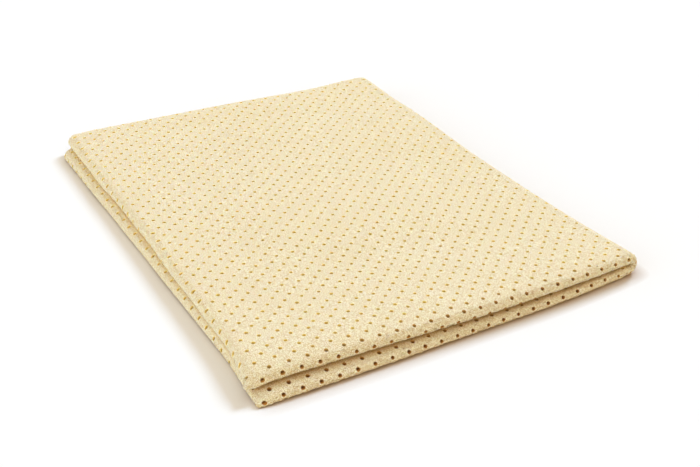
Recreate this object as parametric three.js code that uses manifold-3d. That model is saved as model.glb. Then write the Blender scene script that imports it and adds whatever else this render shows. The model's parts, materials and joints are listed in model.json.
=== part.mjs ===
// Perforated microfibre chamois: one rectangular sheet of cloth, folded in half twice.
// Millimetres, +Z up. X runs along the front fold towards the side fold, Y runs to the raw back edge.
// The sheet is divided at its creases: each half of the stack has two leaves, the front fold that joins
// them, and its share of the side fold, which is the hinge that the upper half opens on.
import * as THREE from "three";
import { mergeGeometries, mergeVertices } from "three/addons/utils/BufferGeometryUtils.js";
import Module from "manifold-3d";

// The flat sheet
const SHEET_WIDTH = 406; // across the side fold
const SHEET_LENGTH = 552; // across the front fold
const CLOTH = 2.2; // thickness of one layer

// The perforations: round holes in a square lattice at 45 degrees to the edges. The cloth has them all over.
// The top leaf's solid carries every second hole of every second row.
const HOLE_DIAMETER = 1.9;
const HOLE_PITCH = 6; // between neighbouring holes of the cloth
const HOLE_STRIDE = 2; // holes of the cloth for each one in the solid, along both rows of the lattice
const HOLE_MARGIN = 12; // from the bends and edges of the leaf to the nearest holes

// The folded stack
const LAYER_GAP = 0.6; // air between two layers
const SEAM_GAP = 0.3; // clearance between neighbouring stretches of the sheet
const FOLD_SKEW_DEG = 0.7; // how far the side fold is off square to the front fold
const DRAPE_DEG = 80; // how far the upper leaf of each pair hangs over the raw edge of the lower one
const COVERED_REACH = 1; // how far the covered leaf runs on past the start of that bend

// Steps that round stretches are divided into
const FRONT_FOLD_STEPS = 12;
const SIDE_FOLD_STEPS = 8;
const DRAPE_STEPS = 6;
const HOLE_SIDES = 6;

const CREAM = 0xf0e2bd;
const SUEDE_ROUGHNESS = 0.95;

// Levels are measured from the plane between the two halves, towards the outside of the stack
const QUARTER_TURN = Math.PI / 2;
const INNER_LEAF = LAYER_GAP / 2;
const OUTER_LEAF = INNER_LEAF + CLOTH + LAYER_GAP;
const HALF_STACK = OUTER_LEAF + CLOTH;

const FRONT_RADIUS = (HALF_STACK - INNER_LEAF) / 2; // outside of the front fold
const FRONT_LEVEL = (HALF_STACK + INNER_LEAF) / 2; // centre of the front fold
const FRONT_ARC = QUARTER_TURN * (FRONT_RADIUS - CLOTH / 2);
const SIDE_ARC = QUARTER_TURN * (HALF_STACK - CLOTH / 2);
const LEAF_START = FRONT_RADIUS + SEAM_GAP;
const LEAF_END = SHEET_LENGTH / 2 - FRONT_ARC + FRONT_RADIUS;
const HINGE_REACH = FRONT_LEVEL; // the side fold opens about the middle of the bent pair of layers

const HOLE_ROW_STEP = HOLE_PITCH * HOLE_STRIDE * Math.SQRT1_2; // from a row of holes to the staggered next
const HOLE_STEP = 2 * HOLE_ROW_STEP; // along a row

const SKEW = THREE.MathUtils.degToRad(FOLD_SKEW_DEG);
const DRAPE = THREE.MathUtils.degToRad(DRAPE_DEG);
const DRAPE_ARC = DRAPE * (LAYER_GAP + 1.5 * CLOTH);
const DRAPE_REACH = Math.sin(DRAPE) * (LAYER_GAP + 2 * CLOTH);

// The halves are drawn as they lie when the side fold is open, to the left and right of its hinge line
const LEFT = -1;
const RIGHT = 1;

const wasm = await Module();
wasm.setup();

function steps(start, end, count) {
  return Array.from({ length: count + 1 }, (_, i) => start + ((end - start) * i) / count);
}

// How far a leaf lies flat beside the side fold, up to where its edge starts to hang, at a depth behind
// the front fold
function reachToDrape(side, depth) {
  return (SHEET_WIDTH / 2) * Math.cos(SKEW) - side * depth * Math.sin(SKEW) - SIDE_ARC - DRAPE_ARC;
}

// The skewed sheet's place along the hinge line
function alongHinge(unrolled, depth) {
  return depth / Math.cos(SKEW) + unrolled * Math.tan(SKEW);
}

// A point of the sheet where it lies flat beside the side fold
function flatPoint(side, reach, depth, level) {
  const along = alongHinge(side * (SIDE_ARC + reach), depth);
  return new THREE.Vector3(side * (HINGE_REACH + reach), along, -level);
}

// A point of the sheet in its quarter of the side fold: share runs from the flat stretch to the hinge
function bentPoint(side, share, depth, level) {
  const angle = share * Math.acos(SEAM_GAP / 2 / level);
  const along = alongHinge(side * SIDE_ARC * (1 - share), depth);
  return new THREE.Vector3(side * (HINGE_REACH - level * Math.sin(angle)), along, -level * Math.cos(angle));
}

// Depth and level of a point in the front fold, whose angle runs from the inner to the outer leaf
function frontFoldPoint(angle, radius) {
  return {
    depth: FRONT_RADIUS - radius * Math.cos(angle),
    level: FRONT_LEVEL + radius * Math.sin(angle),
  };
}

// A closed slab whose corners follow three lists of stations, with its faces turned outwards
function slab(us, vs, ws, pointAt) {
  const geometry = new THREE.BoxGeometry(1, 1, 1, us.length - 1, vs.length - 1, ws.length - 1);
  const position = geometry.attributes.position;
  const station = (list, unit) => list[Math.round((unit + 0.5) * (list.length - 1))];
  for (let i = 0; i < position.count; i += 1) {
    const u = station(us, position.getX(i));
    const v = station(vs, position.getY(i));
    const w = station(ws, position.getZ(i));
    position.setXYZ(i, ...pointAt(u, v, w));
  }
  if (signedVolume(geometry) < 0) {
    geometry.index.array.reverse();
  }
  geometry.computeVertexNormals();
  return geometry;
}

function signedVolume(geometry) {
  const { position } = geometry.attributes;
  const corner = (i) => new THREE.Vector3().fromBufferAttribute(position, geometry.index.getX(i));
  let volume = 0;
  for (let i = 0; i < geometry.index.count; i += 3) {
    volume += corner(i).dot(corner(i + 1).cross(corner(i + 2))) / 6;
  }
  return volume;
}

function chamois(name, geometry) {
  const cloth = new THREE.MeshStandardMaterial({ color: CREAM, roughness: SUEDE_ROUGHNESS, metalness: 0 });
  const mesh = new THREE.Mesh(geometry, cloth);
  mesh.name = name;
  return mesh;
}

// The leaf that lies under its pair's other leaf and ends short of the edge
function coveredLeaf(side, level) {
  const pointAt = (share, depth, at) => {
    const end = reachToDrape(side, depth) + COVERED_REACH;
    return flatPoint(side, THREE.MathUtils.lerp(SEAM_GAP, end, share), depth, at);
  };
  return slab([0, 1], [LEAF_START, LEAF_END], [level, level + CLOTH], pointAt);
}

// The leaf that hangs over the covered leaf's edge: past share 1 it turns about the covered leaf's far face
function drapedLeaf(side, level, coveredFace) {
  const pointAt = (share, depth, at) => {
    const flat = Math.min(share, 1);
    const angle = (share - flat) * DRAPE;
    const radius = at - coveredFace;
    const start = THREE.MathUtils.lerp(SEAM_GAP, reachToDrape(side, depth), flat);
    const reach = start + Math.abs(radius) * Math.sin(angle);
    return flatPoint(side, reach, depth, coveredFace + radius * Math.cos(angle));
  };
  const shares = [0, ...steps(1, 2, DRAPE_STEPS)];
  return slab(shares, [LEAF_START, LEAF_END], [level, level + CLOTH], pointAt);
}

// A closed geometry as a solid that can be cut
function solidOf(geometry) {
  const bare = geometry.clone();
  bare.deleteAttribute("normal");
  bare.deleteAttribute("uv");
  const merged = mergeVertices(bare);
  const vertProperties = merged.attributes.position.array;
  const triVerts = new Uint32Array(merged.index.array);
  return new wasm.Manifold(new wasm.Mesh({ numProp: 3, vertProperties, triVerts }));
}

function geometryOf(solid) {
  const { vertProperties, triVerts } = solid.getMesh();
  const geometry = new THREE.BufferGeometry();
  geometry.setAttribute("position", new THREE.BufferAttribute(vertProperties, 3));
  geometry.setIndex(new THREE.BufferAttribute(triVerts, 1));
  geometry.computeVertexNormals();
  return geometry;
}

// The middles of the holes in the flat stretch of a leaf, row by row from the front
function holeCentres(side, level) {
  const centres = [];
  const lastDepth = LEAF_END - HOLE_MARGIN;
  let stagger = 0;
  for (let depth = LEAF_START + HOLE_MARGIN; depth <= lastDepth; depth += HOLE_ROW_STEP) {
    const lastReach = reachToDrape(side, depth) - HOLE_MARGIN;
    for (let reach = SEAM_GAP + HOLE_MARGIN + stagger; reach <= lastReach; reach += HOLE_STEP) {
      centres.push(flatPoint(side, reach, depth, level));
    }
    stagger = HOLE_ROW_STEP - stagger;
  }
  return centres;
}

// A leaf with its holes punched through
function perforated(leaf, side, level) {
  const punch = new THREE.CylinderGeometry(HOLE_DIAMETER / 2, HOLE_DIAMETER / 2, 2 * CLOTH, HOLE_SIDES);
  punch.rotateX(QUARTER_TURN);
  const middle = level + CLOTH / 2;
  const punches = holeCentres(side, middle).map(({ x, y, z }) => punch.clone().translate(x, y, z));
  return geometryOf(solidOf(leaf).subtract(solidOf(mergeGeometries(punches))));
}

const frontAngles = steps(-QUARTER_TURN, QUARTER_TURN, FRONT_FOLD_STEPS);
const frontRadii = [FRONT_RADIUS - CLOTH, FRONT_RADIUS];
const sideShares = steps(0, 1, SIDE_FOLD_STEPS);

function frontFold(side) {
  const pointAt = (share, angle, radius) => {
    const { depth, level } = frontFoldPoint(angle, radius);
    const end = reachToDrape(side, depth) + DRAPE_REACH;
    return flatPoint(side, THREE.MathUtils.lerp(SEAM_GAP, end, share), depth, level);
  };
  return slab([0, 1], frontAngles, frontRadii, pointAt);
}

function sideFold(side, level) {
  const pointAt = (share, depth, at) => bentPoint(side, share, depth, at);
  return slab(sideShares, [LEAF_START, LEAF_END], [level, level + CLOTH], pointAt);
}

// Where the front fold itself is bent round the side fold
function cornerFold(side) {
  const pointAt = (share, angle, radius) => {
    const { depth, level } = frontFoldPoint(angle, radius);
    return bentPoint(side, share, depth, level);
  };
  return slab(sideShares, frontAngles, frontRadii, pointAt);
}

function half(name, side, innerLeaf, outerLeaf) {
  const group = new THREE.Group();
  group.add(
    chamois(`${name}_inner_leaf`, innerLeaf),
    chamois(`${name}_outer_leaf`, outerLeaf),
    chamois(`${name}_front_fold`, frontFold(side)),
    chamois(`${name}_inner_side_fold`, sideFold(side, INNER_LEAF)),
    chamois(`${name}_outer_side_fold`, sideFold(side, OUTER_LEAF)),
    chamois(`${name}_corner_fold`, cornerFold(side)),
  );
  return group;
}

// In the folded stack the inner leaf is the upper one of the lower pair, and the outer leaf of the upper pair
const lowerHalf = half(
  "bottom",
  LEFT,
  drapedLeaf(LEFT, INNER_LEAF, HALF_STACK),
  coveredLeaf(LEFT, OUTER_LEAF),
);
const upperHalf = half(
  "top",
  RIGHT,
  coveredLeaf(RIGHT, INNER_LEAF),
  perforated(drapedLeaf(RIGHT, OUTER_LEAF, INNER_LEAF), RIGHT, OUTER_LEAF),
);
upperHalf.rotation.y = Math.PI; // folded over the hinge line onto the lower half

// The stack stands on Z = 0, with its middle over the origin
const stack = new THREE.Group();
stack.add(lowerHalf, upperHalf);
const box = new THREE.Box3().setFromObject(stack);
const middle = box.getCenter(new THREE.Vector3());
stack.position.set(-middle.x, -middle.y, -box.min.z);

const foldedChamois = new THREE.Group();
foldedChamois.add(stack);

export default foldedChamois;
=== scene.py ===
"""The looks of a perforated chamois: one cream, suede-like sheet, folded in half twice, on a white table."""

import json
import logging
import math
from collections.abc import Sequence
from dataclasses import dataclass, field
from enum import Enum
from functools import reduce
from operator import add

import bmesh
import bpy
import numpy as np
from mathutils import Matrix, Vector
from numpy.typing import NDArray


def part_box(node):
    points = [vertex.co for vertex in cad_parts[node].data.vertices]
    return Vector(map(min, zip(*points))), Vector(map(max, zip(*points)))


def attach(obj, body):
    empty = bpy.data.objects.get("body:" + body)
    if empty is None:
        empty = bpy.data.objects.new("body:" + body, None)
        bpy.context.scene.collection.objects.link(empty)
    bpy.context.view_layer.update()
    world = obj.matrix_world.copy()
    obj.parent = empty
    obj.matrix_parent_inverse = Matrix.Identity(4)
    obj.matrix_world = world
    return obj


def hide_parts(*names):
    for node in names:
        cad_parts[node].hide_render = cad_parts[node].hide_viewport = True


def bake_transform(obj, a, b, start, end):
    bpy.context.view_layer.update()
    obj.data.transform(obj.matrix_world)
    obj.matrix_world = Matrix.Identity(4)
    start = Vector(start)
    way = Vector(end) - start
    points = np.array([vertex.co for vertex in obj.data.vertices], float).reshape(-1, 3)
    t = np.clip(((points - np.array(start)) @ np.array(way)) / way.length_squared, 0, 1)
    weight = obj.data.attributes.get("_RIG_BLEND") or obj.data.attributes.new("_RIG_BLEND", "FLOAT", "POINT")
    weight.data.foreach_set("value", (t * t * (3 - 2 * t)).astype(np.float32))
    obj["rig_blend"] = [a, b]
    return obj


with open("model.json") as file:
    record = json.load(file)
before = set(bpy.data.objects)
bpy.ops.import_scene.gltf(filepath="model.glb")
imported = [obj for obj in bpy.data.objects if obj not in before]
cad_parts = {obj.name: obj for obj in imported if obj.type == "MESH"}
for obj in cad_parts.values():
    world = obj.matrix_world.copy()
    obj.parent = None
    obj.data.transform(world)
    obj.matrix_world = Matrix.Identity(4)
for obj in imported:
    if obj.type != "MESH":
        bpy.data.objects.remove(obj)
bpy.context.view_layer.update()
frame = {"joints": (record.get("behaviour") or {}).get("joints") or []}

MM = 0.001
TOUCH = 1e-7  # metres: what is nearer counts as touching
QUARTER_TURN = math.pi / 2
WHITE = (1.0, 1.0, 1.0, 1.0)
BLACK = (0.0, 0.0, 0.0, 1.0)
COVER_SAMPLES = 6  # rays that look for what covers a place
RIM = "rim"  # 1 at the lip and wall of a hole, 0 between the holes
DEEP = "deep"  # 0 on the cloth's outer face, 1 on its inner face
Floats = NDArray[np.float64]
Pair = tuple[float, float]
Triple = tuple[float, float, float]
Colour = Triple
log = logging.getLogger("chamois")


class Half(Enum):
    """The two halves of the folded stack, by their side of the side fold in the flat sheet."""

    LOWER = -1
    UPPER = 1


class Leaf(Enum):
    """The two leaves of a half, by their side of the front fold in the flat sheet."""

    INNER = -1
    OUTER = 1


def smoothstep(value: Floats, start: float, end: float) -> Floats:
    """Rises smoothly from 0 at start to 1 at end."""
    t = np.clip((value - start) / (end - start), 0, 1)
    return t * t * (3 - 2 * t)


def linear(colour: Colour) -> tuple[float, ...]:
    """Turns a colour as it looks on a standard screen into the numbers that a shader takes.

    Args:
        colour: red, green and blue, from 0 to 255.

    Returns:
        The linear colour, opaque.
    """
    share = np.array(colour) / 255
    curve = np.where(share <= 0.04045, share / 12.92, ((share + 0.055) / 1.055) ** 2.4)
    return (*curve, 1.0)


def placed(name: str, data: bpy.types.ID) -> bpy.types.Object:
    """Puts a new object into the scene.

    Args:
        name: its name.
        data: its mesh, camera or lamp.

    Returns:
        The object.
    """
    thing = bpy.data.objects.new(name, data)
    bpy.context.scene.collection.objects.link(thing)
    return thing


@dataclass
class Wire:
    """A node's output, for use in Python expressions: each operator adds a Math node."""

    board: "Board"  # that the node is on
    socket: bpy.types.NodeSocket

    def __add__(self, other: "Wire | float") -> "Wire":
        """The sum."""
        return self.board.calc("ADD", self, other)

    __radd__ = __add__

    def __sub__(self, other: "Wire | float") -> "Wire":
        """The difference."""
        return self.board.calc("SUBTRACT", self, other)

    def __rsub__(self, other: "Wire | float") -> "Wire":
        """The difference, the other way round."""
        return self.board.calc("SUBTRACT", other, self)

    def __mul__(self, other: "Wire | float") -> "Wire":
        """The product."""
        return self.board.calc("MULTIPLY", self, other)

    __rmul__ = __mul__

    def __pow__(self, other: "Wire | float") -> "Wire":
        """The power."""
        return self.board.calc("POWER", self, other)


Paint = Wire | Sequence[float]


@dataclass
class Board:
    """A node tree that nodes are put on."""

    tree: bpy.types.NodeTree

    def add(self, kind: str, settings: dict | None = None, inputs: dict | None = None) -> bpy.types.Node:
        """Puts one node on the board.

        Args:
            kind: the node's type.
            settings: its properties, set before its sockets are touched.
            inputs: values, wires or sockets for its inputs, by name or number.

        Returns:
            The node.
        """
        node = self.tree.nodes.new(kind)
        for name, value in (settings or {}).items():
            setattr(node, name, value)
        for key, value in (inputs or {}).items():
            source = value.socket if isinstance(value, Wire) else value
            if isinstance(source, bpy.types.NodeSocket):
                self.tree.links.new(source, node.inputs[key])
            else:
                node.inputs[key].default_value = source
        return node

    def wire(
        self, kind: str, settings: dict | None = None, inputs: dict | None = None, output: int | str = 0
    ) -> Wire:
        """Puts one node on the board and gives one of its outputs.

        Args:
            kind: the node's type.
            settings: its properties.
            inputs: values, wires or sockets for its inputs.
            output: the output's name or number.

        Returns:
            The output.
        """
        return Wire(self, self.add(kind, settings, inputs).outputs[output])

    def calc(self, operation: str, *values: Wire | bpy.types.NodeSocket | float) -> Wire:
        """Puts one Math node on the board and gives its result."""
        return self.wire("ShaderNodeMath", {"operation": operation}, dict(enumerate(values)))

    def blend(self, share: Wire | float, first: Paint, second: Paint, how: str = "MIX") -> Wire:
        """Mixes two colours.

        Args:
            share: how much of the second colour.
            first: a colour or its wire.
            second: a colour or its wire.
            how: the way of mixing.

        Returns:
            The mixed colour.
        """
        factor, colour_a, colour_b, result = 0, 6, 7, 2
        inputs = {factor: share, colour_a: first, colour_b: second}
        return self.wire("ShaderNodeMix", {"data_type": "RGBA", "blend_type": how}, inputs, result)

    def tint(self, shade: Paint, reach: float, facing: Wire | None = None) -> Wire:
        """Paints shade into white in clefts, where light comes by way of the cloth.

        Args:
            shade: what is left of the light where nothing of the sky is seen.
            reach: how far away a surface may be to cover a place.
            facing: the side that the light comes from, if it is not the surface's own.

        Returns:
            The tint, white in the open.
        """
        inputs = {"Distance": reach} | ({"Normal": facing} if facing else {})
        seen = self.wire("ShaderNodeAmbientOcclusion", {"samples": COVER_SAMPLES}, inputs, "AO")
        return self.blend(seen, shade, WHITE)

    def seen_rays(self) -> Wire:
        """Tells the rays that show the background from those that light the object.

        Returns:
            1 on the rays that show it, and 0 on the others.
        """
        paths = self.add("ShaderNodeLightPath").outputs
        kinds = ("Is Camera Ray", "Is Glossy Ray", "Is Transmission Ray")
        return self.calc("MINIMUM", reduce(add, (Wire(self, paths[kind]) for kind in kinds)), 1.0)


def fresh_board(owner: bpy.types.Material | bpy.types.World) -> Board:
    """Gives a material or a world an empty board.

    Args:
        owner: the material or world.

    Returns:
        The board.
    """
    owner.use_nodes = True
    owner.node_tree.nodes.clear()
    return Board(owner.node_tree)


@dataclass(frozen=True)
class Noise:
    """A cloudy noise, about 0.5 on average."""

    size: float  # of its spots
    detail: float  # how many finer layers it has
    tone: float = 0.0  # how much it lightens and darkens the cloth
    bump: float = 0.0  # its share of the cloth's relief
    roughness: float = 0.6

    def wire(self, board: Board, place: Wire) -> Wire:
        """Puts the noise on a material's board, by the coordinates."""
        inputs = {"Vector": place, "Scale": 1 / self.size, "Detail": self.detail, "Roughness": self.roughness}
        return board.wire("ShaderNodeTexNoise", {}, inputs, "Fac")


@dataclass(frozen=True)
class SuedeFinish:
    """The napped, matt face of the cloth."""

    name: str = "cream_suede"
    light: Colour = (254, 245, 217)
    dark: Colour = (223, 199, 150)
    lip_light: Colour = (255, 229, 150)  # painted light: warm glow on the cut walls at the holes' lips
    front_lip_shade: Colour = (194, 136, 68)  # painted shade: the lips' colour on the dimmer front folds
    deep_shade: Colour = (110, 52, 8)  # painted shade at the holes' bottoms
    painted_wall_share: float = 0.9  # of this painted light and shade on the walls, where the light is good
    lip_sharpness: float = 30  # how closely they keep to the walls
    through: Colour = (0.085, 0.061, 0.01)  # painted glow in the holes, for light that comes through the cloth
    dim_from: float = -125 * MM  # painted shade sets in here, where the sheet turns down to the front folds
    dim_to: float = -138 * MM
    cleft: Colour = (0.88, 0.7, 0.42)  # what is left of the light between the side edges
    front_cleft: Colour = (0.66, 0.42, 0.17)  # and between the front folds
    cleft_reach: float = 3.0 * MM
    roughness: float = 0.95
    specular: float = 0.1
    sheen: float = 0.2
    sheen_roughness: float = 0.5
    glow: float = 0.4  # share of the light that spreads inside the cloth
    glow_colour: Colour = (1.0, 0.78, 0.42)
    glow_reach: float = 1.3 * MM
    clouds: Noise = Noise(38 * MM, 2, tone=0.18)
    tufts: Noise = Noise(3.6 * MM, 3, tone=0.08, bump=0.1)
    grain: Noise = Noise(0.9 * MM, 4, tone=0.18, bump=0.4)
    specks: Noise = Noise(0.5 * MM, 1, tone=4.2)
    fibres: Noise = Noise(0.22 * MM, 2, bump=0.4)
    bump_depth: float = 0.30 * MM
    bump_strength: float = 0.7

    def material(self) -> bpy.types.Material:
        """Makes the material.

        Returns:
            The material.
        """
        material = bpy.data.materials.new(self.name)
        board = fresh_board(material)
        place = board.wire("ShaderNodeTexCoord", output="Object")
        noises = (self.clouds, self.tufts, self.grain, self.specks, self.fibres)
        layers = [(noise, noise.wire(board, place)) for noise in noises]
        lightness = reduce(add, (noise.tone * (value - 0.5) for noise, value in layers if noise.tone), 0.5)
        height = reduce(add, (noise.bump * value for noise, value in layers if noise.bump))
        # Painted shade, by how far the light fails: from 0 on the top face to 1 on the front folds
        along = board.add("ShaderNodeSeparateXYZ", {}, {0: place}).outputs["Y"]
        ramp = {"Value": along, "From Min": self.dim_from, "From Max": self.dim_to}
        dim = board.wire("ShaderNodeMapRange", {"interpolation_type": "SMOOTHSTEP"}, ramp)
        # Painted shade in the clefts, deeper between the front folds
        cleft = board.blend(dim, (*self.cleft, 1), (*self.front_cleft, 1))
        cloth = board.blend(lightness, linear(self.dark), linear(self.light))
        cloth = board.blend(1.0, cloth, board.tint(cleft, self.cleft_reach), "MULTIPLY")
        colour, through = self._holes(board, cloth, dim)
        relief = {"Strength": self.bump_strength, "Distance": self.bump_depth, "Height": height}
        surface = {
            "Base Color": colour,
            "Roughness": self.roughness,
            "Specular IOR Level": self.specular,
            "Subsurface Weight": self.glow,
            "Subsurface Radius": self.glow_colour,
            "Subsurface Scale": self.glow_reach,
            "Sheen Weight": self.sheen,
            "Sheen Roughness": self.sheen_roughness,
            "Sheen Tint": linear(self.light),
            "Emission Color": through,
            "Emission Strength": 1.0,
            "Normal": board.wire("ShaderNodeBump", {}, relief),
        }
        shader = board.wire("ShaderNodeBsdfPrincipled", {}, surface)
        board.add("ShaderNodeOutputMaterial", {}, {"Surface": shader})
        return material

    def _holes(self, board: Board, cloth: Wire, dim: Wire) -> tuple[Wire, Wire]:
        """Paints light and shade on the walls of the holes.

        Args:
            board: the material's board.
            cloth: the colour between the holes.
            dim: how far the light fails.

        Returns:
            Cloth and walls with painted light and shade, and a painted glow for light through the cloth.
        """
        kind = "ShaderNodeAttribute"
        rim, deep = (board.wire(kind, {"attribute_name": name}, output="Fac") for name in (RIM, DEEP))
        at_wall = rim**self.lip_sharpness
        # Painted light on the lips, painted shade on the front folds and deeper down the walls
        painted_lip = board.blend(dim, linear(self.lip_light), linear(self.front_lip_shade))
        painted_wall = board.blend(deep**2, painted_lip, linear(self.deep_shade))
        share = at_wall * (self.painted_wall_share + (1 - self.painted_wall_share) * dim)
        lit = at_wall * (1 - deep) ** 2 * (1 - dim)
        return board.blend(share, cloth, painted_wall), board.blend(lit, BLACK, (*self.through, 1))


@dataclass
class PerforatedCloth:
    """The flat perforated cloth: a square lattice of round holes, set at 45 degrees to the sheet."""

    pitch: float = 6.0 * MM
    hole_diameter: float = 1.85 * MM  # the nap closes in over the punched lip
    hole_sides: int = 8
    stretch: float = 1.0272  # along the sheet's length
    turn: float = math.radians(1.55)  # of the lattice against the sheet's cut edges
    phase: Pair = (135.48 * MM, 48.2 * MM)  # one hole's centre, across and along the sheet
    size_jitter: float = 0.08
    place_jitter: float = 0.12 * MM
    weld: float = 0.02 * MM  # nearer points of neighbouring cells become one
    seed: int = 11

    def tree(self, sizes: dict[str, tuple[str, object]]) -> bpy.types.NodeTree:
        """Builds the node tree that makes the lattice.

        Args:
            sizes: the kind and value of each of the tree's inputs, by name.

        Returns:
            The tree.
        """
        tree = bpy.data.node_groups.new("perforated_cloth", "GeometryNodeTree")
        for name, (kind, _) in sizes.items():
            tree.interface.new_socket(name=name, in_out="INPUT", socket_type=f"NodeSocket{kind}")
        tree.interface.new_socket(name="Cloth", in_out="OUTPUT", socket_type="NodeSocketGeometry")
        board = Board(tree)
        given = board.add("NodeGroupInput").outputs
        cloth = self._lattice(board, given, self._cell(board, given))
        cloth = board.wire("GeometryNodeSetMaterial", {}, {"Geometry": cloth, "Material": given["Material"]})
        board.add("NodeGroupOutput", {}, {"Cloth": cloth})
        return tree

    def _cell(self, board: Board, given: bpy.types.NodeOutputs) -> Wire:
        """One square of cloth round one hole: a ring that is drawn out to the square's sides.

        Args:
            board: the tree's board.
            given: the tree's inputs.

        Returns:
            The cell's mesh.
        """
        ring_sizes = {"Vertices": given["Hole Sides"], "Radius": given["Hole Radius"]}
        ring = board.wire("GeometryNodeMeshCircle", {"fill_type": "NONE"}, ring_sizes)
        marked = self._store(board, "FLOAT", {"Geometry": ring, "Name": RIM, "Value": 1.0})
        drawn = board.add("GeometryNodeExtrudeMesh", {"mode": "EDGES"}, {"Mesh": marked, "Offset Scale": 0.0})
        outside = drawn.outputs["Top"]
        place = board.wire("GeometryNodeInputPosition")
        parts = board.add("ShaderNodeSeparateXYZ", {}, {0: place}).outputs
        longest = board.calc("MAXIMUM", *(board.calc("ABSOLUTE", parts[axis]) for axis in "XY"))
        growth = board.calc("DIVIDE", given["Pitch"], 2 * longest)
        square = board.wire("ShaderNodeVectorMath", {"operation": "SCALE"}, {0: place, "Scale": growth})
        outer_sides = {"Geometry": drawn.outputs["Mesh"], "Selection": outside, "Position": square}
        spread = board.wire("GeometryNodeSetPosition", {}, outer_sides)
        unmarked = {"Geometry": spread, "Selection": outside, "Name": RIM, "Value": 0.0}
        return self._store(board, "FLOAT", unmarked)

    def _store(self, board: Board, kind: str, inputs: dict) -> Wire:
        """Keeps a named value of this kind at a mesh's points."""
        return board.wire("GeometryNodeStoreNamedAttribute", {"data_type": kind, "domain": "POINT"}, inputs)

    def _lattice(self, board: Board, given: bpy.types.NodeOutputs, cell: Wire) -> Wire:
        """Repeats the cell over the sheet, with each hole a little off its size and place.

        Args:
            board: the tree's board.
            given: the tree's inputs.
            cell: the cell's mesh.

        Returns:
            The cloth's mesh.
        """
        names = ("Cells", "Pitch", "Size Jitter", "Place Jitter")
        cells, pitch, jitter, reach = (Wire(board, given[name]) for name in names)
        extent = (cells - 1) * pitch
        spans = {"Size X": extent, "Size Y": extent, "Vertices X": cells, "Vertices Y": cells}
        points = board.wire("GeometryNodeMeshGrid", {}, spans)
        place = board.wire("GeometryNodeInputPosition")
        sizes = {"Min": 1 - jitter, "Max": 1 + jitter, "Seed": given["Seed"]}
        growth = board.wire("FunctionNodeRandomValue", {"data_type": "FLOAT"}, sizes, 1)
        low = board.wire("ShaderNodeCombineXYZ", {}, {"X": 0 - reach, "Y": 0 - reach})
        high = board.wire("ShaderNodeCombineXYZ", {}, {"X": reach, "Y": reach})
        shifts = {"Min": low, "Max": high, "Seed": given["Seed"]}
        shift = board.wire("FunctionNodeRandomValue", {"data_type": "FLOAT_VECTOR"}, shifts)
        kinds = {RIM: "FLOAT", "centre": "FLOAT_VECTOR", "growth": "FLOAT", "shift": "FLOAT_VECTOR"}
        for name, value in (("centre", place), ("growth", growth), ("shift", shift)):
            points = self._store(board, kinds[name], {"Geometry": points, "Name": name, "Value": value})
        copies = board.wire("GeometryNodeInstanceOnPoints", {}, {"Points": points, "Instance": cell})
        cloth = board.wire("GeometryNodeRealizeInstances", {}, {"Geometry": copies})
        named = {
            name: board.wire("GeometryNodeInputNamedAttribute", {"data_type": kind}, {"Name": name})
            for name, kind in kinds.items()
        }
        vector = "ShaderNodeVectorMath"
        arm = board.wire(vector, {"operation": "SUBTRACT"}, {0: place, 1: named["centre"]})
        grown = board.wire(vector, {"operation": "SCALE"}, {0: arm, "Scale": named["growth"] - 1})
        moved = board.wire(vector, {"operation": "ADD"}, {0: grown, 1: named["shift"]})
        lips = board.calc("GREATER_THAN", named[RIM], 0.5)
        settled = {"Geometry": cloth, "Selection": lips, "Offset": moved}
        cloth = board.wire("GeometryNodeSetPosition", {}, settled)
        cloth = board.wire("GeometryNodeMergeByDistance", {}, {"Geometry": cloth, "Distance": self.weld})
        for change in (
            {"Rotation": (0, 0, math.pi / 4)},
            {"Scale": given["Stretch"]},
            {"Rotation": given["Turn"], "Translation": given["Phase"]},
        ):
            cloth = board.wire("GeometryNodeTransform", {}, {"Geometry": cloth} | change)
        return cloth

    def mesh(self, width: float, length: float, material: bpy.types.Material) -> bpy.types.Mesh:
        """Makes a piece of cloth that is larger than the sheet all round.

        Args:
            width: the sheet's size across.
            length: the sheet's size along.
            material: the cloth's material.

        Returns:
            A flat mesh with the holes open.
        """
        spare = 4 * self.pitch
        reach = math.hypot(width, length) + 2 * math.hypot(*self.phase) + spare
        cells = 2 * math.ceil(reach / self.pitch / 2) + 1
        sizes = {
            "Cells": ("Int", cells),
            "Pitch": ("Float", self.pitch),
            "Hole Radius": ("Float", self.hole_diameter / 2),
            "Hole Sides": ("Int", self.hole_sides),
            "Size Jitter": ("Float", self.size_jitter),
            "Place Jitter": ("Float", self.place_jitter),
            "Seed": ("Int", self.seed),
            "Stretch": ("Vector", (1.0, self.stretch, 1.0)),
            "Turn": ("Rotation", (0.0, 0.0, self.turn)),
            "Phase": ("Vector", (*self.phase, 0.0)),
            "Material": ("Material", material),
        }
        carrier = placed("cloth_roll", bpy.data.meshes.new("cloth_roll"))
        modifier = carrier.modifiers.new("perforations", "NODES")
        modifier.node_group = self.tree(sizes)
        for item in modifier.node_group.interface.items_tree:
            if item.in_out == "INPUT":
                modifier[item.identifier] = sizes[item.name][1]
        graph = bpy.context.evaluated_depsgraph_get()
        mesh = bpy.data.meshes.new_from_object(carrier.evaluated_get(graph), depsgraph=graph)
        carrier.modifiers.remove(modifier)
        bpy.data.objects.remove(carrier)
        return mesh


@dataclass(frozen=True)
class Swell:
    """A soft rise or dip of the folded stack."""

    x: float  # its middle
    y: float
    across: float  # how far it reaches
    along: float
    height: float

    def at(self, x: Floats, y: Floats) -> Floats:
        """Its height at places on the stack."""
        return self.height * np.exp(-(((x - self.x) / self.across) ** 2) - ((y - self.y) / self.along) ** 2)


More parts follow.
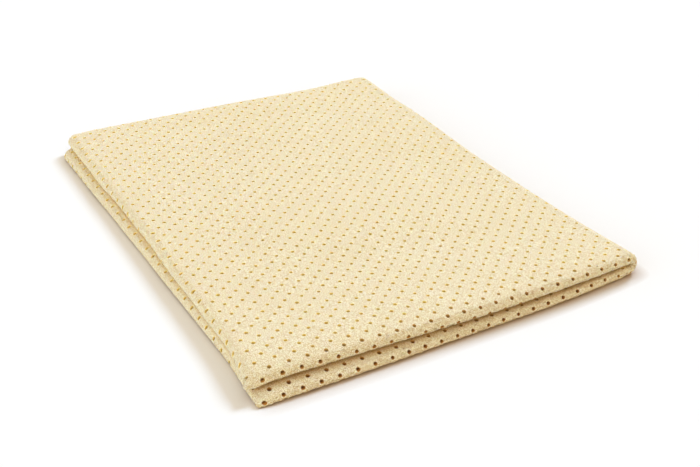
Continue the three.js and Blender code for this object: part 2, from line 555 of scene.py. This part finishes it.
SWELLS = tuple(
    Swell(*(size * MM for size in sizes))
    for sizes in (
        (-20, 60, 40, 40, -1.6),
        (90, 60, 20, 60, 1.6),
        (0, -70, 40, 20, -1.5),
        (-60, 0, 14, 60, -0.9),
        (60, 100, 60, 14, -0.8),
        (20, 20, 60, 14, -0.7),
        (10, 130, 40, 14, 0.9),
        (-50, 140, 80, 16, 0.8),
        (-20, -127, 200, 20, 0.95),
        (70, 0, 14, 20, -1.0),
        (96, 142, 24, 30, 1.6),
    )
)

PRESSED = (
    Swell(-104 * MM, 143 * MM, 12 * MM, 10 * MM, -0.12),
    Swell(-106 * MM, -141 * MM, 14 * MM, 12 * MM, -0.16),
)


@dataclass
class FoldedSheet:
    """The sheet and its two folds.

    Levels are measured from the plane between the halves, outwards. A pair of values is for the lower and
    the upper half, or for the start and the end of a change, where nothing else is said.
    """

    cloth: PerforatedCloth = field(default_factory=PerforatedCloth)
    finish: SuedeFinish = SuedeFinish()

    # The flat sheet, and the lines that it bends on
    lower_reach: float = 205.7 * MM  # from the side fold to the sheet's edges
    upper_reach: float = 206.85 * MM
    length: float = 554.6 * MM
    skew: float = math.radians(0.7)  # of the side fold, off square to the front fold
    seam: float = 0.5 * MM  # past the side fold's bend, where its strip meets the leaves
    pinched: float = 2.2 * MM  # each side of the inner crease, where the holes are pressed shut
    front_steps: int = 12
    side_steps: int = 8
    drape_steps: int = 9
    edge_share: float = 0.6  # of the cloth's thickness, left at its cut edges
    edge_taper: float = 2.5 * MM
    edge_lines: tuple[float, ...] = (0.9, 0.6, 0.3)  # shares of that taper, from the back edges

    # The lower half's rows of holes
    slip: float = 0.0294  # how much they turn, to run along the front fold
    slip_middle: float = 108 * MM  # from the side fold, where they stay
    slip_start: Pair = (9 * MM, 24 * MM)  # where the turn sets in
    slip_depth: float = 60 * MM
    bow_slip: float = 0.63  # share of the front fold's bow that they don't follow
    edge_slip: float = 2.4 * MM  # how far they are drawn in at the side edge
    edge_slip_base: float = 0.7 * MM  # less this much all along it
    edge_slip_along: Pair = (-235 * MM, -100 * MM)  # where this sets in
    edge_slip_front: float = 60 * MM  # and where it ends
    edge_slip_across: Pair = (150 * MM, 195 * MM)

    # The hanging side edges
    drape_turn: Pair = (math.radians(81), math.radians(140))
    drape_radius: Pair = (4.0 * MM, 2.4 * MM)
    drape_depth: Pair = (0 * MM, 8 * MM)  # past the front fold, where this sets in
    drape_mean: float = 0.9  # how fully they hang
    drape_waves: tuple[Triple, ...] = ((0.07, 21 * MM, 0.6), (0.05, 8.3 * MM, 2.1))  # height, length, phase
    tuck: float = 5.5 * MM  # how far the covered leaf ends short of the hanging one
    tuck_depth: Pair = (3 * MM, 14 * MM)  # behind the front fold, where it sets in
    flare: Pair = (2.5 * MM, 3.5 * MM)  # how far they stray out at the front
    flare_depth: float = 25 * MM
    flare_reach: float = 7 * MM
    back_flare: Pair = (0.2 * MM, 2.3 * MM)  # and at the back
    back_flare_depth: Pair = (130 * MM, 280 * MM)
    round_off: float = 4.5 * MM  # how far the lower free back corner is drawn forward
    round_reach: Pair = (8 * MM, 14 * MM)  # from the side and from the back

    # The front folds
    front_fade: float = 4 * MM  # how far back the free ends' shape goes
    free_reach: float = 10 * MM  # how far it goes along the folds
    corner_cut: float = 1.5 * MM  # how far the free ends draw in
    corner_pinch: float = 0.35  # how much flatter they get
    wedge: float = 0.36  # how much flatter the folds are pressed
    wedge_base: float = 0.35  # share of that beside the side fold
    wedge_rise: float = 0.8  # share that is added up to the free ends
    wedge_depth: float = 5.0 * MM
    spread: Pair = (2.6 * MM, 0.4 * MM)  # how far they creep forward
    spread_start: float = -80 * MM  # where this starts to change
    spread_depth: float = 25 * MM
    bow: float = 1.75 * MM  # how far the lower one is drawn back again, midway
    bow_middle: float = 90 * MM  # from the side fold
    bow_reach: float = 46 * MM

    # The side fold
    slide_depth: Pair = (3 * MM, 40 * MM)  # where the inner leaf slides on round it
    turnover: float = 20 * MM  # each side of it, where one half's shape becomes the other's
    bulge: float = 0.4 * MM  # how far it swells out
    bulge_reach: float = 30 * MM
    bulge_fade: float = 12 * MM  # behind the front fold
    back_bulge: float = 2.0 * MM  # how much more it swells towards the back
    back_bulge_along: Pair = (-20 * MM, 140 * MM)
    front_bulge: float = 0.8 * MM  # and towards the front
    front_bulge_along: Pair = (40 * MM, 110 * MM)
    edge_bulge: float = 1.6 * MM  # how far its outermost edge stands out at the back
    edge_bulge_along: Pair = (0 * MM, 80 * MM)
    edge_bulge_reach: float = 9 * MM
    corner_bulge: float = 3.5 * MM  # how far the front right corner stands out
    corner_bulge_reach: float = 75 * MM
    corner_bulge_depth: float = 20 * MM
    corner_draw: float = 6.0 * MM  # how far it is drawn back
    corner_reach: float = 40 * MM
    blend_margin: float = 0.05 * MM  # that the inner fold's bend keeps from the leaves

    # The surface
    nap_height: float = 0.36 * MM
    nap_pitch: float = 0.8 * MM
    nap_reach: float = 6.2 * MM  # from the side edges
    side_nap: float = 0.4  # share of the nap's height there
    nap_seed: int = 5
    crease_angle: float = math.radians(70)  # sharper edges stay sharp in the shading
    swells: tuple[Swell, ...] = SWELLS
    pressed: tuple[Swell, ...] = PRESSED  # corners that lie flatter, by shares of their height

    def __post_init__(self) -> None:
        """Makes the material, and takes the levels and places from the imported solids."""
        self.material = self.finish.material()
        low, high = (Vector(corner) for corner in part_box("bottom_outer_leaf"))
        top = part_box("top_outer_leaf")[1][2]
        self.thickness = high.z - low.z
        self.gap = (top - 4 * self.thickness) / 3
        self.half_stack = top / 2
        self.front_radius = self.thickness + self.gap / 2  # outside of the front fold
        self.front_level = (self.half_stack + self.gap / 2) / 2
        self.front_middle = self.front_radius - self.thickness / 2
        self.front_arc = QUARTER_TURN * self.front_radius  # the cloth keeps its length on the outside
        self.side_arc = QUARTER_TURN * (self.half_stack - self.thickness / 5)  # here a fifth further in
        self.crease_arc = QUARTER_TURN * ((self.gap + self.thickness) / 2)
        self.strip = self.side_arc + self.seam  # half the width of the side fold's pieces
        self.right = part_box("top_outer_side_fold")[1][0]
        self.bend_start = self.right - self.half_stack
        self.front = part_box("top_corner_fold")[0][1]
        self.reach = (self.lower_reach, self.upper_reach)

    def unrolled(self, across: Floats, along: Floats) -> Floats:
        """How far a point of the flat sheet lies from the side fold's line."""
        depth = np.abs(along) + self.front_radius - self.front_arc
        return across * math.cos(self.skew) - depth * math.sin(self.skew)

    def flat_bmesh(self) -> bmesh.types.BMesh:
        """Cuts the sheet from the cloth, with lines for the bends to turn on.

        Returns:
            The flat sheet, X across the side fold and Y across the front fold.
        """
        roll = self.cloth.mesh(sum(self.reach), self.length, self.material)
        sheet = bmesh.new()
        sheet.from_mesh(roll)
        bpy.data.meshes.remove(roll)
        self._draw_rows(sheet)
        half = self.length / 2
        for x, y in ((self.upper_reach, 0), (-self.lower_reach, 0), (0, half), (0, -half)):
            edge = Vector((x, y, 0))
            cloth = [*sheet.verts, *sheet.edges, *sheet.faces]
            plane = {"plane_co": edge, "plane_no": edge.normalized()}
            bmesh.ops.bisect_plane(sheet, geom=cloth, dist=TOUCH, clear_outer=True, **plane)
        self._rule_lines(sheet)
        self._press_crease(sheet)
        self._split_lines(sheet)
        bmesh.ops.recalc_face_normals(sheet, faces=sheet.faces)
        up = sum(face.normal.z * face.calc_area() for face in sheet.faces)
        if up < 0:
            bmesh.ops.reverse_faces(sheet, faces=sheet.faces)
        return sheet

    def _draw_rows(self, sheet: bmesh.types.BMesh) -> None:
        """Pulls the lower half's rows of holes a little askew, as handled cloth is.

        Args:
            sheet: the uncut cloth.
        """
        across, along, _ = np.array([vert.co for vert in sheet.verts]).T
        past_fold = smoothstep(-across, *self.slip_start)
        away = np.abs(along)
        turned = self.slip * (across + self.slip_middle) * past_fold * np.exp(-away / self.slip_depth)
        turned = turned - self.bow_slip * self.bow * self._bowed(across) * np.exp(-away / self.spread_depth)
        held = smoothstep(-along, 0, self.edge_slip_front)
        drawn_in = self.edge_slip * smoothstep(along, *self.edge_slip_along) * held
        drawn_in = (drawn_in - self.edge_slip_base) * smoothstep(-across, *self.edge_slip_across)
        for vert, shift in zip(sheet.verts, np.stack([drawn_in, -turned], axis=1)):
            vert.co.xy += Vector(shift)

    def _rule_lines(self, sheet: bmesh.types.BMesh) -> None:
        """Adds edges along the bends, so that the cloth can turn there.

        Args:
            sheet: the flat sheet.
        """
        ahead = Vector((0, 1, 0))
        self._rule(sheet, ahead, np.linspace(-self.front_arc, self.front_arc, self.front_steps + 1), 0)
        steps = 2 * self.side_steps + 1
        bend, crease = (np.linspace(-arc, arc, steps) for arc in (self.side_arc, self.crease_arc))
        slack = self.side_arc * np.array([-1, -0.5, 0.5, 1])
        start, end = -self.strip, self.strip
        lines = {Leaf.OUTER: [start, *bend, end], Leaf.INNER: [start, *slack, *crease, end]}
        for leaf, places in lines.items():
            normal = Vector((math.cos(self.skew), -leaf.value * math.sin(self.skew), 0))
            shift = (self.front_radius - self.front_arc) * math.sin(self.skew)
            self._rule(sheet, normal, np.array(places) + shift, leaf.value)
        for half, reach, turn, radius in zip(Half, self.reach, self.drape_turn, self.drape_radius):
            hang = np.linspace(1, 1 / self.drape_steps, self.drape_steps) * turn * radius
            self._rule(sheet, Vector((half.value, 0, 0)), reach - hang, 0)
        for leaf in Leaf:
            near_edge = self.length / 2 - self.edge_taper * np.array(self.edge_lines)
            self._rule(sheet, ahead * leaf.value, near_edge, 0)

    def _rule(self, sheet: bmesh.types.BMesh, normal: Vector, places: Floats, leaf: int) -> None:
        """Cuts parallel lines into the sheet.

        Args:
            sheet: the flat sheet.
            normal: the direction across the lines.
            places: the lines' distances from the middle along that direction.
            leaf: the side of the front fold that is cut, or 0 for both.
        """
        room = 2 * self.cloth.pitch
        first, last = places.min() - room, places.max() + room
        faces = [
            face
            for face in sheet.faces
            if first < face.verts[0].co.dot(normal) < last and face.calc_center_median().y * leaf >= 0
        ]
        edges = {edge for face in faces for edge in face.edges}
        verts = {vert for face in faces for vert in face.verts}
        pieces = [*verts, *edges, *faces]
        for place in places:
            at = normal * float(place)
            cut = bmesh.ops.bisect_plane(sheet, geom=pieces, dist=TOUCH, plane_co=at, plane_no=normal)
            pieces = cut["geom"]

    def _press_crease(self, sheet: bmesh.types.BMesh) -> None:
        """Closes the holes in the inner leaves' tight crease.

        Args:
            sheet: the flat sheet.
        """
        edges = []
        for edge in sheet.edges:
            middle = (edge.verts[0].co + edge.verts[1].co) / 2
            away = self.unrolled(np.array(middle.x), np.array(middle.y))
            if edge.is_boundary and middle.y < 0 and abs(float(away)) < self.pinched:
                edges.append(edge)
        bmesh.ops.holes_fill(sheet, edges=edges, sides=0)

    def _split_lines(self, sheet: bmesh.types.BMesh) -> None:
        """Divides the lines along the front fold and the side edges, for the nap to stand up on.

        Args:
            sheet: the flat sheet.
        """
        by_cuts: dict[int, list[bmesh.types.BMEdge]] = {}
        for edge in sheet.edges:
            start, end = (vert.co for vert in edge.verts)
            step, middle = end - start, (start + end) / 2
            at_front = abs(step.y) < TOUCH and abs(middle.y) < self.front_arc + TOUCH
            at_side = abs(step.x) < TOUCH and self._to_side(np.array(middle.x)) < self.nap_reach
            cuts = int(step.length / self.nap_pitch)
            if cuts and (at_front or at_side):
                by_cuts.setdefault(cuts, []).append(edge)
        for cuts, edges in by_cuts.items():
            bmesh.ops.subdivide_edges(sheet, edges=edges, cuts=cuts)

    def _to_side(self, across: Floats) -> Floats:
        """How far a point of the flat sheet lies from its nearest side edge."""
        return np.where(across > 0, self.upper_reach - across, self.lower_reach + across)

    def _nap(self, across: Floats, along: Floats, rim: Floats) -> Floats:
        """How far the nap stands up or is trodden down, on the front fold and the side edges.

        Args:
            across: places across the side fold in the flat sheet.
            along: places across the front fold.
            rim: how near each point is to a hole's lip.

        Returns:
            The heights over the cloth's outer face.
        """
        rough = np.random.default_rng(self.nap_seed).uniform(-1, 1, len(across))
        at_fold = np.abs(along) < self.front_arc + self.nap_pitch
        at_side = self.side_nap * (self._to_side(across) < self.nap_reach)
        return self.nap_height * rough * np.maximum(at_fold, at_side) * (rim < 0.5)

    def fold(self, across: Floats, along: Floats, offset: Floats | float) -> Floats:
        """Folds points of the flat sheet.

        Args:
            across: their places across the side fold.
            along: their places across the front fold.
            offset: how far they lie from the cloth's middle, towards its outer face.

        Returns:
            Their places in the folded stack.
        """
        side = np.where(across < 0, Half.LOWER.value, Half.UPPER.value)
        half_width = self._by_side(side, self.reach)
        to_side = self._to_side(across)
        to_back = self.length / 2 - np.abs(along)
        offset = offset * self._edge_share(np.minimum(to_side, to_back))

        # The covered leaf is tucked in, and the inner leaf slides on round the side fold
        covered = -side * along
        slid = (self.side_arc - self.crease_arc) * smoothstep(-along, *self.slide_depth)
        drawn_back = self.tuck * smoothstep(covered, *self.tuck_depth) + slid
        across = across * (1 - drawn_back / half_width)
        arc = self.side_arc - slid

        # The front fold
        angle = np.clip(along / self.front_radius, -QUARTER_TURN, QUARTER_TURN)
        run = np.maximum(np.abs(along) - self.front_arc, 0)
        depth = self.front_radius - (self.front_middle + offset) * np.cos(angle) + run
        level = self.front_level + self.front_middle * np.sin(angle)
        rise = offset * np.sin(angle)

        # The way out from the side fold, shorter at the front folds' free ends
        unrolled = across * math.cos(self.skew) - depth * math.sin(self.skew)
        y = across * math.sin(self.skew) + depth * math.cos(self.skew) + self.front
        side = np.where(unrolled < 0, Half.LOWER.value, Half.UPPER.value)
        behind = np.maximum(depth, 0)
        near_front = np.exp(-behind / self.front_fade)
        free_end = smoothstep(-to_side, -self.free_reach, 0)
        reach = np.abs(unrolled) - arc - self.corner_cut * near_front * free_end

        # The hanging edges
        edge = half_width * math.cos(self.skew) - side * depth * math.sin(self.skew) - self.side_arc
        drape_radius = self._by_side(side, self.drape_radius)
        hanging = np.maximum(reach - (edge - self._by_side(side, self.drape_turn) * drape_radius), 0)
        slack = smoothstep(-covered, *self.drape_depth) * self._drape_share(y)
        turn = slack * hanging / drape_radius
        down = -side
        drop = hanging * turn / 2 * np.sinc(turn / (2 * math.pi)) ** 2
        reach = reach - hanging + hanging * np.sinc(turn / math.pi) - down * rise * np.sin(turn)
        level = level + down * drop + rise * np.cos(turn)

        # The front folds lie flatter than round, and creep forward
        upper = smoothstep(unrolled, -self.turnover, self.turnover)
        loose = self.wedge_base + self.wedge_rise * np.abs(unrolled) / half_width
        press = self.wedge * loose * np.exp(-behind / self.wedge_depth)
        press = press + self.corner_pinch * near_front * free_end
        level = level + (self.half_stack * (1 - upper) - level) * press
        y = y - self._creep(unrolled) * np.exp(-behind / self.spread_depth)
        y = y - self._rounded(to_side, to_back) * (side < 0)

        # The side fold, and the side edges that stray out
        bend = QUARTER_TURN * np.clip(1 - np.abs(unrolled) / arc, 0, 1)
        flare = self._by_side(side, self.flare) * np.exp(-((depth / self.flare_depth) ** 2))
        back_flare = self._by_side(side, self.back_flare) * smoothstep(depth, *self.back_flare_depth)
        stray = (flare + back_flare) * np.exp(-to_side / self.flare_reach)
        x = self.bend_start - np.maximum(reach, 0) - stray + level * np.sin(bend)
        z = self.half_stack + side * level * np.cos(bend)
        return self._settle(np.stack([x, y, z], axis=1))

    def _by_side(self, side: Floats, pair: Pair) -> Floats:
        """The first value on the lower half and the second on the upper one."""
        return np.where(side > 0, pair[1], pair[0])

    def _creep(self, unrolled: Floats) -> Floats:
        """How far the front folds creep forward, by the distance from the side fold."""
        change = smoothstep(unrolled, self.spread_start, self.turnover)
        return self.spread[0] + (self.spread[1] - self.spread[0]) * change - self.bow * self._bowed(unrolled)

    def _rounded(self, to_side: Floats, to_back: Floats) -> Floats:
        """How far a free back corner is drawn forward, by the distances from the sheet's edges."""
        side_reach, back_reach = self.round_reach
        return self.round_off * (np.clip(1 - to_side / side_reach, 0, 1) * np.exp(-to_back / back_reach))

    def _bowed(self, unrolled: Floats) -> Floats:
        """How fully the front fold is bowed, by the distance from the side fold."""
        return np.exp(-(((unrolled + self.bow_middle) / self.bow_reach) ** 2))

    def _edge_share(self, distance: Floats) -> Floats:
        """How much of the cloth's thickness is left, by the distance from a cut edge."""
        return self.edge_share + (1 - self.edge_share) * np.sqrt(np.clip(distance / self.edge_taper, 0, 1))

    def _drape_share(self, y: Floats) -> Floats:
        """How fully an edge hangs, along the edge."""
        waves = (height * np.sin(y / length + phase) for height, length, phase in self.drape_waves)
        return sum(waves, self.drape_mean)

    def _settle(self, points: Floats) -> Floats:
        """Lets the stack sink a little between its folds, with the slow waves of cloth that has lain folded.

        Args:
            points: places in the folded stack.

        Returns:
            The settled places.
        """
        x, y, z = points.T
        behind = np.maximum(y - self.front, 0)
        back = self.back_bulge * smoothstep(y, *self.back_bulge_along)
        front = self.front_bulge * smoothstep(-y, *self.front_bulge_along)
        bulge = (self.bulge + back + front) * smoothstep(x, self.right - self.bulge_reach, self.right)
        at_edge = smoothstep(x, self.right - self.edge_bulge_reach, self.right)
        bulge = bulge + self.edge_bulge * smoothstep(y, *self.edge_bulge_along) * at_edge
        bulge = bulge * (1 - np.exp(-behind / self.bulge_fade))
        at_corner = smoothstep(x, self.right - self.corner_bulge_reach, self.right)
        corner = self.corner_bulge * at_corner * np.exp(-behind / self.corner_bulge_depth)
        risen = sum(swell.at(x, y) for swell in self.swells)
        lift = risen * np.clip((z - self.half_stack) / self.half_stack, 0, 1)
        to_right = np.clip(x / self.right, 0, None)
        drawn = self.corner_draw * to_right**2 * np.exp((self.front - y) / self.corner_reach)
        flatter = 1 + sum(dent.at(x, y) for dent in self.pressed)
        return np.stack([x + bulge + corner, y + drawn, np.maximum((z + lift) * flatter, 0)], axis=1)

    def build(self) -> dict[str, bpy.types.Object]:
        """Makes the sheet's pieces.

        Returns:
            The pieces by name.
        """
        sheet = self.flat_bmesh()
        sheet.verts.ensure_lookup_table()
        flat = np.array([vert.co[:2] for vert in sheet.verts])
        rim_layer = sheet.verts.layers.float[RIM]
        rim = np.array([vert[rim_layer] for vert in sheet.verts])
        loops = [[vert.index for vert in face.verts] for face in sheet.faces]
        sheet.free()
        middles = np.array([flat[loop].mean(axis=0) for loop in loops])
        away = self.unrolled(*middles.T)
        bent = np.abs(away) <= self.strip
        shares = {
            "lower_sheet": away < -self.strip,
            "upper_sheet": away > self.strip,
            "outer_side_fold": bent & (middles[:, 1] > 0),
            "inner_side_fold": bent & (middles[:, 1] <= 0),
        }
        across, along = flat.T
        outer = self.fold(across, along, self.thickness / 2 + self._nap(across, along, rim))
        inner = self.fold(across, along, -self.thickness / 2)
        pieces = {}
        for name, chosen in shares.items():
            faces = [loops[i] for i in np.flatnonzero(chosen)]
            pieces[name] = self._thick_piece(name, faces, outer, inner, rim)
        return pieces

    def _thick_piece(
        self, name: str, faces: list[list[int]], outer: Floats, inner: Floats, rim: Floats
    ) -> bpy.types.Object:
        """Makes a closed piece of cloth from its share of the sheet's faces.

        Args:
            name: the piece's name.
            faces: the corners of its faces in the flat sheet.
            outer: the folded sheet's outer face.
            inner: the folded sheet's inner face.
            rim: how near each point is to a hole's lip.

        Returns:
            The piece.
        """
        used = sorted({corner for face in faces for corner in face})
        place = {corner: i for i, corner in enumerate(used)}
        count = len(used)
        inner_faces = [[place[corner] + count for corner in face] for face in faces]
        outer_faces = [[corner - count for corner in reversed(face)] for face in inner_faces]
        sides = {pair for face in inner_faces for pair in zip(face, [*face[1:], face[0]])}
        walls = [[b, a, a - count, b - count] for a, b in sorted(sides) if (b, a) not in sides]
        mesh = bpy.data.meshes.new(name)
        mesh.from_pydata(np.concatenate([outer[used], inner[used]]), [], outer_faces + inner_faces + walls)
        for label, values in ((RIM, np.tile(rim[used], 2)), (DEEP, np.repeat([0.0, 1.0], count))):
            attribute = mesh.attributes.new(label, "FLOAT", "POINT")
            attribute.data.foreach_set("value", values.astype(np.float32))
        mesh.shade_smooth()
        mesh.set_sharp_from_angle(angle=self.crease_angle)
        mesh.materials.append(self.material)
        return placed(name, mesh)

    def dress(self, pieces: dict[str, bpy.types.Object]) -> None:
        """Args:
            pieces: the pieces by name.
        """
        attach(pieces["lower_sheet"], "lower_half")
        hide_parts("bottom_inner_leaf", "bottom_outer_leaf", "bottom_front_fold")
        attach(pieces["upper_sheet"], "upper_half")
        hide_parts("top_inner_leaf", "top_outer_leaf", "top_front_fold")
        hinge = Vector(frame["joints"][0]["pos_m"])
        bends = {
            "outer_side_fold": self.half_stack - self.thickness,
            "inner_side_fold": self.gap / 2 - self.blend_margin,
        }
        for name, room in bends.items():
            start, end = hinge - Vector((0, 0, room)), hinge + Vector((0, 0, room))
            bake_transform(pieces[name], "lower_half", "upper_half", start=start, end=end)
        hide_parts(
            "bottom_outer_side_fold",
            "top_outer_side_fold",
            "bottom_corner_fold",
            "top_corner_fold",
        )
        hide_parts("bottom_inner_side_fold", "top_inner_side_fold")


@dataclass(frozen=True)
class TableFinish:
    """The white table, which looks white to the camera wherever it is fully lit, with a painted shadow beside
    the cloth.
    """

    name: str = "white_table"
    bounce: Colour = (0.8, 0.8, 0.8)  # share of the light that it throws back
    shade: Colour = (0.42, 0.24, 0.1)  # painted shadow: what is left of the light where the cloth covers it
    shade_reach: float = 8 * MM
    facing: Triple = (-0.3, 0.65, 0.55)  # the side that this light comes from

    def material(self) -> bpy.types.Material:
        """Makes the material.

        Returns:
            The material.
        """
        material = bpy.data.materials.new(self.name)
        board = fresh_board(material)
        facing = board.wire("ShaderNodeCombineXYZ", {}, dict(zip("XYZ", self.facing)))
        # Painted shadow on the table beside the cloth, as the camera sees it
        shadowed_white = board.tint((*self.shade, 1), self.shade_reach, facing)
        white = board.blend(board.seen_rays(), (*self.bounce, 1), shadowed_white)
        shader = board.wire("ShaderNodeBsdfDiffuse", {}, {"Color": white})
        board.add("ShaderNodeOutputMaterial", {}, {"Surface": shader})
        return material


@dataclass
class Studio:
    """The white table, the soft light and the camera."""

    image_width: int = 700
    focal_pixels: float = 1122.8
    clip_start: float = 10 * MM
    eye: Triple = (-244.3 * MM, -480.9 * MM, 280.7 * MM)
    view: Triple = (0.4195, 0.7704, -0.4802)
    table_size: float = 12.0
    table_finish: TableFinish = TableFinish()
    sky: Colour = (0.585, 0.465, 0.335)
    left: Colour = (1.78, 2.33, 2.8)  # added to the sky's light low on the left
    front: Colour = (0.85, 0.88, 0.6)  # and low in front
    low_sharpness: float = 4  # how closely these two keep to their sides
    sun: Colour = (1.55, 1.98, 2.58)
    sun_angle: float = math.radians(17)
    sun_from: Triple = (1.35, 0.75, 1.06)

    def build(self) -> None:
        """Sets the stage."""
        self._camera()
        self._table()
        self._light()
        bpy.context.scene.view_settings.view_transform = "Standard"

    def _camera(self) -> None:
        """Stands the camera where the photograph was taken."""
        data = bpy.data.cameras.new("camera")
        data.lens = self.focal_pixels * data.sensor_width / self.image_width
        data.clip_start = self.clip_start
        camera = placed("camera", data)
        camera.rotation_euler = Vector(self.view).to_track_quat("-Z", "Y").to_euler()
        camera.location = self.eye
        bpy.context.scene.camera = camera

    def _table(self) -> None:
        """Lays the table."""
        reach = self.table_size / 2
        corners = [(-reach, -reach, 0), (reach, -reach, 0), (reach, reach, 0), (-reach, reach, 0)]
        mesh = bpy.data.meshes.new("table")
        mesh.from_pydata(corners, [], [(0, 1, 2, 3)])
        mesh.materials.append(self.table_finish.material())
        table = placed("table", mesh)

    def _light(self) -> None:
        """Lights the table from all round, and more from above, behind and to the right."""
        world = bpy.data.worlds.new("studio")
        board = fresh_board(world)
        place = board.wire("ShaderNodeTexCoord", output="Generated")
        parts = board.add("ShaderNodeSeparateXYZ", {}, {0: place}).outputs
        sky: Paint = (*self.sky, 1)
        for axis, glow in (("X", self.left), ("Y", self.front)):
            away = board.calc("MAXIMUM", 0.0 - Wire(board, parts[axis]), 0.0)
            sky = board.blend(away**self.low_sharpness, sky, (*glow, 1), "ADD")
        colour = board.blend(board.seen_rays(), sky, WHITE)
        shader = board.wire("ShaderNodeBackground", {}, {"Color": colour})
        board.add("ShaderNodeOutputWorld", {}, {"Surface": shader})
        bpy.context.scene.world = world
        lamp = bpy.data.lights.new("softbox", "SUN")
        lamp.energy = max(self.sun)
        lamp.color = [share / lamp.energy for share in self.sun]
        lamp.angle = self.sun_angle
        softbox = placed("softbox", lamp)
        softbox.rotation_euler = Vector(self.sun_from).to_track_quat("Z", "Y").to_euler()


def main() -> None:
    """Builds the chamois and its stage."""
    logging.basicConfig(level=logging.INFO, format="%(name)s: %(message)s")
    Studio().build()
    chamois = FoldedSheet()
    pieces = chamois.build()
    chamois.dress(pieces)
    for name, piece in pieces.items():
        log.info("%s: %d faces", name, len(piece.data.polygons))


if __name__ == "__main__":
    main()
